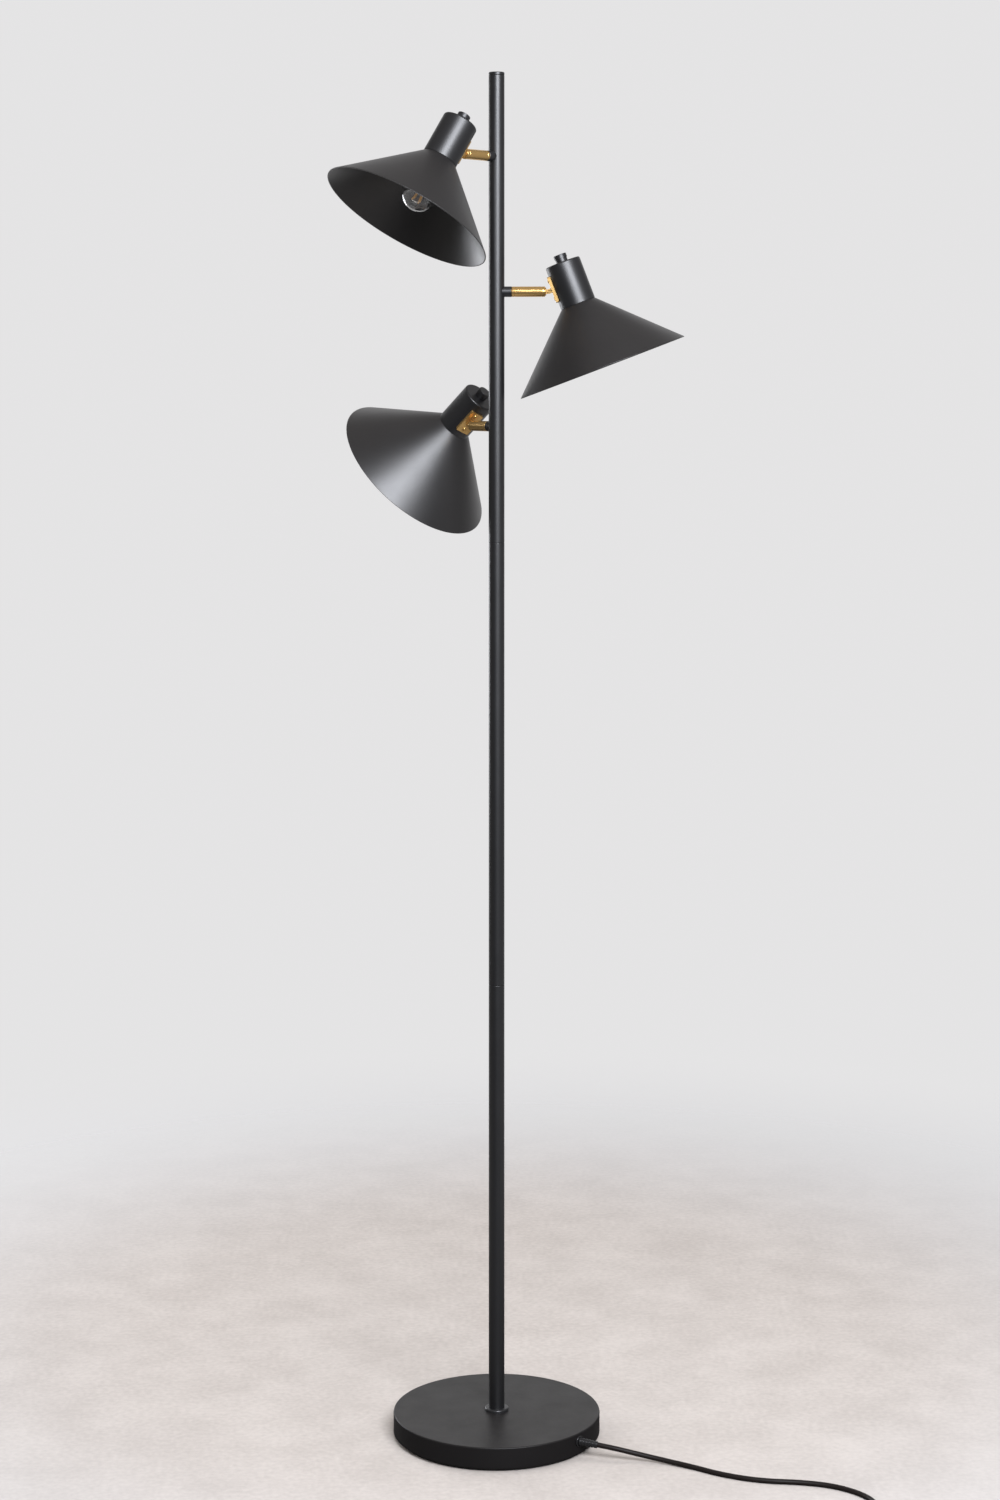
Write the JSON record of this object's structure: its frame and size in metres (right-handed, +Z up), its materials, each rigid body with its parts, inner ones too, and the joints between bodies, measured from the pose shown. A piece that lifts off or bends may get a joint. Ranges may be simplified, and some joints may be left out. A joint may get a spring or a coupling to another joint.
{
  "type": "floor lamp",
  "caption": "Free-standing floor lamp: a round weighted base, a slim black pole and cone shades on short brass arms that swivel and tilt.",
  "frame": {"origin": "middle of the floor pad's underside, on the pole's axis, at floor level", "axes": "+Z up along the pole, -Y towards the viewer of the picture, +X to that viewer's right"},
  "size_m": [0.7567, 0.6154, 1.648],
  "materials": {
    "base_paint": "matt charcoal-black powder coat",
    "pole_paint": "satin black paint",
    "shade_paint": "matt black powder coat, darker inside",
    "cup_paint": "satin black paint",
    "knob_paint": "satin black, with a steel spindle inside",
    "collar_paint": "glossy black-chrome collar",
    "cast_iron": "raw casting",
    "pad": "black foam rubber",
    "steel": "zinc-plated",
    "brass": "lacquered satin brass",
    "holder": "black thermoplastic",
    "cable": "insulated cores",
    "lead": "dark brown-black round flex",
    "plug": "moulded plug with plated pins",
    "bushing": "moulded black gland",
    "nickel": "nickel-plated screw base",
    "bulb_glass": "clear glass",
    "filament": "glass stem with amber filaments"
  },
  "bodies": {
    "stand": {"base_cover": "base_paint", "base_weight": "cast_iron", "floor_pad": "pad", "base_collar": "collar_paint", "anchor_rod": "steel", "anchor_nut": "steel", "pole_lower": "pole_paint", "pole_middle": "pole_paint", "pole_upper": "pole_paint", "pole_couplers": "steel", "pole_cap": "pole_paint", "pole_wiring": "cable", "cord_bushing": "bushing", "cord_lead": "lead", "cord_coil": "lead", "cord_tail": "lead", "cord_plug": "plug", "arm_nipples": "cup_paint", "arm_tube_1": "brass", "arm_tube_2": "brass", "arm_tube_3": "brass"},
    "swivel_1": {"swivel_stem_1": "brass"},
    "head_1": {"knuckle_bracket_1": "brass", "knuckle_pin_1": "brass", "bracket_screws_1": "brass", "lamp_cup_1": "cup_paint", "shade_1": "shade_paint", "shade_ring_1": "holder", "lampholder_1": "holder", "switch_body_1": "holder", "bulb_base_1": "nickel", "bulb_glass_1": "bulb_glass", "bulb_filament_1": "filament"},
    "knob_1": {"switch_knob_1": "knob_paint"},
    "swivel_2": {"swivel_stem_2": "brass"},
    "head_2": {"knuckle_bracket_2": "brass", "knuckle_pin_2": "brass", "bracket_screws_2": "brass", "lamp_cup_2": "cup_paint", "shade_2": "shade_paint", "shade_ring_2": "holder", "lampholder_2": "holder", "switch_body_2": "holder", "bulb_base_2": "nickel", "bulb_glass_2": "bulb_glass", "bulb_filament_2": "filament"},
    "knob_2": {"switch_knob_2": "knob_paint"},
    "swivel_3": {"swivel_stem_3": "brass"},
    "head_3": {"knuckle_bracket_3": "brass", "knuckle_pin_3": "brass", "bracket_screws_3": "brass", "lamp_cup_3": "cup_paint", "shade_3": "shade_paint", "shade_ring_3": "holder", "lampholder_3": "holder", "switch_body_3": "holder", "bulb_base_3": "nickel", "bulb_glass_3": "bulb_glass", "bulb_filament_3": "filament"},
    "knob_3": {"switch_knob_3": "knob_paint"}
  },
  "joints": [
    {"name": "swivel_turn_1", "type": "hinge", "parent": "stand", "child": "swivel_1", "pos_m": [-0.03838, -0.04415, 1.547], "axis": [-0.6561, -0.7547, 0], "range_deg": [-137.8, 162.2]},
    {"name": "head_tilt_1", "type": "hinge", "parent": "swivel_1", "child": "head_1", "pos_m": [-0.04107, -0.04725, 1.547], "axis": [-0.7377, 0.6412, 0.2113], "range_deg": [-15.9, 30.1]},
    {"name": "switch_turn_1", "type": "hinge", "parent": "head_1", "child": "knob_1", "pos_m": [-0.04218, -0.06055, 1.5835], "axis": [0.4653, 0.256, 0.8473], "continuous": true},
    {"name": "swivel_turn_2", "type": "hinge", "parent": "stand", "child": "swivel_2", "pos_m": [0.05836, -0.00408, 1.385], "axis": [0.9976, -0.0698, 0], "range_deg": [-150.6, 149.4]},
    {"name": "head_tilt_2", "type": "hinge", "parent": "swivel_2", "child": "head_2", "pos_m": [0.06245, -0.00437, 1.385], "axis": [-0.0698, -0.9975, -0.0105], "range_deg": [-6.9, 39.1]},
    {"name": "switch_turn_2", "type": "hinge", "parent": "head_2", "child": "knob_2", "pos_m": [0.07886, -0.00588, 1.42019], "axis": [-0.3566, 0.0151, 0.9342], "continuous": true},
    {"name": "swivel_turn_3", "type": "hinge", "parent": "stand", "child": "swivel_3", "pos_m": [-0.03013, 0.05014, 1.223], "axis": [-0.515, 0.8572, 0], "range_deg": [-174.5, 125.5]},
    {"name": "head_tilt_3", "type": "hinge", "parent": "swivel_3", "child": "head_3", "pos_m": [-0.03224, 0.05366, 1.223], "axis": [0.78, 0.4687, -0.4147], "range_deg": [-28.1, 17.9]},
    {"name": "switch_turn_3", "type": "hinge", "parent": "head_3", "child": "knob_3", "pos_m": [-0.01982, 0.0642, 1.25828], "axis": [0.609, -0.4162, 0.6752], "continuous": true}
  ]
}
